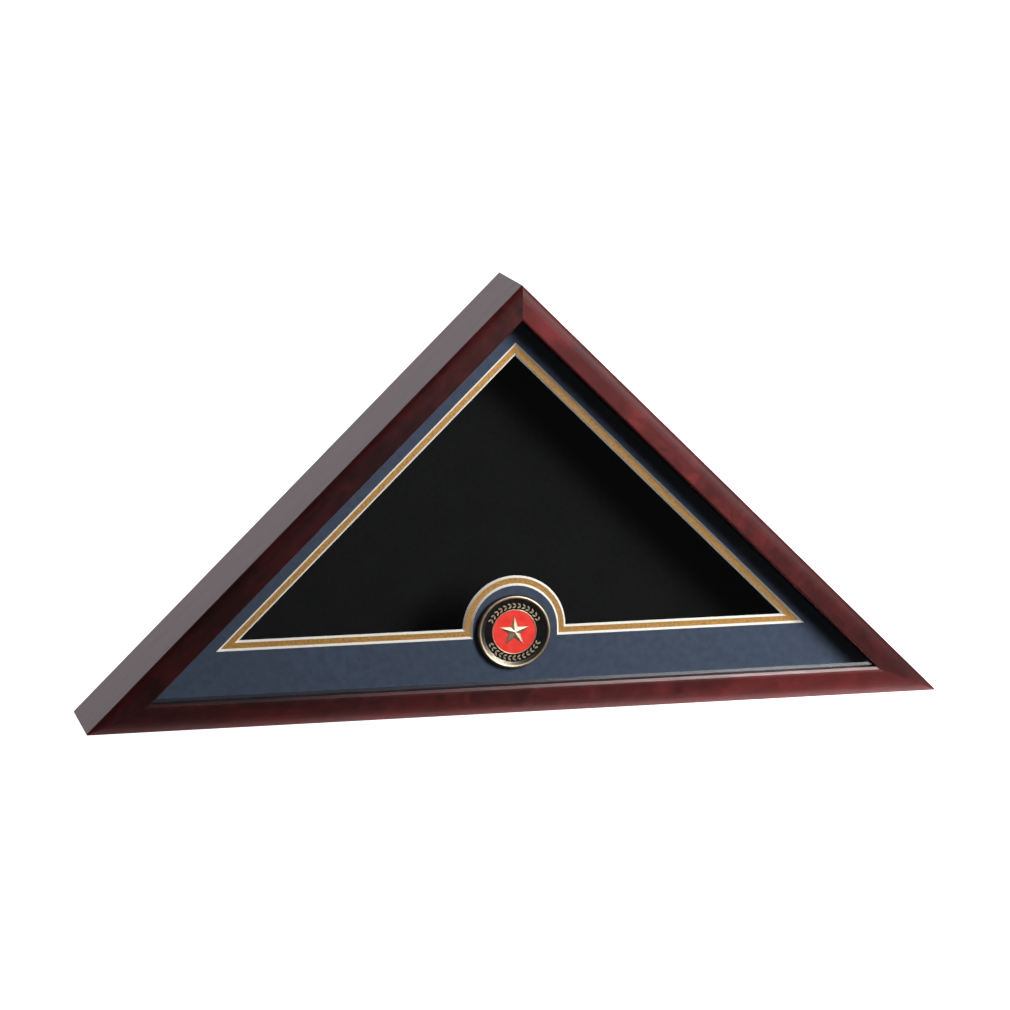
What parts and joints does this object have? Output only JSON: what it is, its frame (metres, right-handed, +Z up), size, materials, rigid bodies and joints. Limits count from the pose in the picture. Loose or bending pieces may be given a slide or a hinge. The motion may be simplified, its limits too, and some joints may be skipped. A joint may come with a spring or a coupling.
{
  "type": "folded flag display case",
  "caption": "Triangular glass-fronted wooden case for a folded flag, with a bevelled mat window arched over an enamelled medallion and a lift-out back held by turn buttons.",
  "frame": {"origin": "middle of the base rail's underside, halfway through the rails' depth", "axes": "+X across the case to the viewer's right, +Y from the glass to the back panel, +Z up to the apex"},
  "size_m": [0.6462, 0.0795, 0.319],
  "materials": {
    "stained_wood": "gloss",
    "nail_steel": "satin",
    "clear_glass": "polished",
    "black_spacer": "gloss",
    "blue_mat_board": "matte",
    "gold_mat_board": "matte",
    "black_felt": "matte",
    "hardboard": "matte",
    "foam": "matte",
    "antique_gold": "satin",
    "black_enamel": "gloss",
    "red_enamel": "gloss",
    "screw_brass": "polished",
    "button_brass": "satin"
  },
  "bodies": {
    "case": {"left_rail": "stained_wood", "right_rail": "stained_wood", "bottom_rail": "stained_wood", "v_nails_left": "nail_steel", "v_nails_right": "nail_steel", "v_nails_apex": "nail_steel", "glass_pane": "clear_glass", "glass_spacer_left": "black_spacer", "glass_spacer_right": "black_spacer", "glass_spacer_bottom": "black_spacer", "blue_mat": "blue_mat_board", "gold_mat": "gold_mat_board", "felt_liner_left": "black_felt", "felt_liner_right": "black_felt", "felt_liner_bottom": "black_felt", "medallion_foam_pad": "foam", "medallion_body": "antique_gold", "medallion_black_enamel": "black_enamel", "medallion_red_enamel": "red_enamel", "turn_button_screws": "screw_brass"},
    "back_panel": {"back_panel": "hardboard", "back_panel_felt": "black_felt"},
    "turn_button_left_low": {"turn_button_left_low": "button_brass"},
    "turn_button_left_high": {"turn_button_left_high": "button_brass"},
    "turn_button_right_high": {"turn_button_right_high": "button_brass"},
    "turn_button_right_low": {"turn_button_right_low": "button_brass"},
    "turn_button_base_right": {"turn_button_base_right": "button_brass"},
    "turn_button_base_left": {"turn_button_base_left": "button_brass"}
  },
  "joints": [
    {"name": "back_panel_lift_out", "type": "slide", "parent": "case", "child": "back_panel", "axis": [0, 1, 0], "range_m": [0, 0.09]},
    {"name": "turn_button_left_low_turn", "type": "hinge", "parent": "case", "child": "turn_button_left_low", "pos_m": [-0.23555, 0.0381, 0.07866], "axis": [0, 1, 0], "range_deg": [-90, 0]},
    {"name": "turn_button_left_high_turn", "type": "hinge", "parent": "case", "child": "turn_button_left_high", "pos_m": [-0.08003, 0.0381, 0.23178], "axis": [0, 1, 0], "range_deg": [-90, 0]},
    {"name": "turn_button_right_high_turn", "type": "hinge", "parent": "case", "child": "turn_button_right_high", "pos_m": [0.08003, 0.0381, 0.23178], "axis": [0, -1, 0], "range_deg": [-90, 0]},
    {"name": "turn_button_right_low_turn", "type": "hinge", "parent": "case", "child": "turn_button_right_low", "pos_m": [0.23555, 0.0381, 0.07866], "axis": [0, -1, 0], "range_deg": [-90, 0]},
    {"name": "turn_button_base_right_turn", "type": "hinge", "parent": "case", "child": "turn_button_base_right", "pos_m": [0.15552, 0.0381, 0.006], "axis": [0, -1, 0], "range_deg": [-90, 0]},
    {"name": "turn_button_base_left_turn", "type": "hinge", "parent": "case", "child": "turn_button_base_left", "pos_m": [-0.15552, 0.0381, 0.006], "axis": [0, 1, 0], "range_deg": [-90, 0]}
  ]
}
